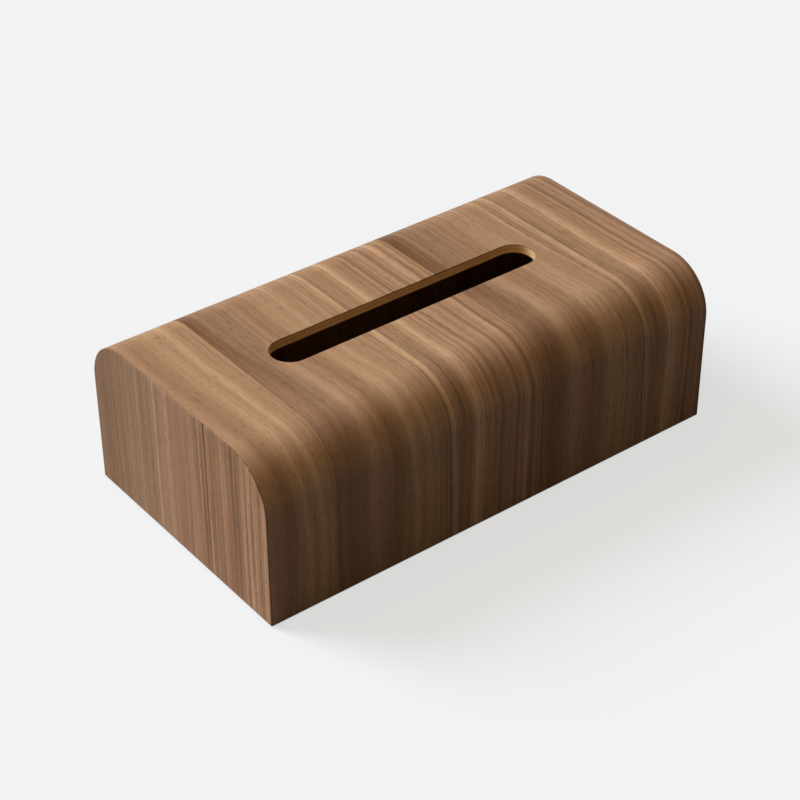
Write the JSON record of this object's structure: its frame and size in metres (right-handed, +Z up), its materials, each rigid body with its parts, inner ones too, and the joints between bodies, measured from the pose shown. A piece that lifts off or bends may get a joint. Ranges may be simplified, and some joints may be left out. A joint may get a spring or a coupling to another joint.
{
  "type": "tissue box holder",
  "caption": "Walnut-veneered bent-ply holder for a flat tissue carton: arched cover with a round-ended slot on top, lifting off a magnet-held base board on felt feet.",
  "frame": {"origin": "middle of the footprint, on the table under the felt feet", "axes": "+X along the holder towards its right end, +Y to the back, +Z up"},
  "size_m": [0.26, 0.14, 0.0845],
  "materials": {
    "walnut_face": "satin",
    "walnut_end": "satin",
    "cross_ply": "matte",
    "centre_ply": "matte",
    "lining_veneer": "matte",
    "end_board": "matte",
    "glue_block": "matte",
    "magnet_nickel": "polished",
    "base_ply": "matte",
    "strike_steel": "brushed",
    "felt": "matte"
  },
  "bodies": {
    "base": {"base_board": "base_ply", "strike_disc_front_left": "strike_steel", "felt_foot_front_left": "felt", "strike_disc_front_right": "strike_steel", "felt_foot_front_right": "felt", "strike_disc_back_left": "strike_steel", "felt_foot_back_left": "felt", "strike_disc_back_right": "strike_steel", "felt_foot_back_right": "felt"},
    "cover": {"face_leaf_left": "walnut_face", "face_leaf_middle": "walnut_face", "face_leaf_right": "walnut_face", "arch_outer_ply": "cross_ply", "arch_centre_ply": "centre_ply", "arch_inner_ply": "cross_ply", "arch_lining": "lining_veneer", "left_end_board": "end_board", "right_end_board": "end_board", "left_end_veneer": "walnut_end", "right_end_veneer": "walnut_end", "corner_block_front_left": "glue_block", "magnet_front_left": "magnet_nickel", "corner_block_front_right": "glue_block", "magnet_front_right": "magnet_nickel", "corner_block_back_left": "glue_block", "magnet_back_left": "magnet_nickel", "corner_block_back_right": "glue_block", "magnet_back_right": "magnet_nickel"}
  },
  "joints": [
    {"name": "cover_lift", "type": "slide", "parent": "base", "child": "cover", "axis": [0, 0, 1], "range_m": [0, 0.1]}
  ]
}
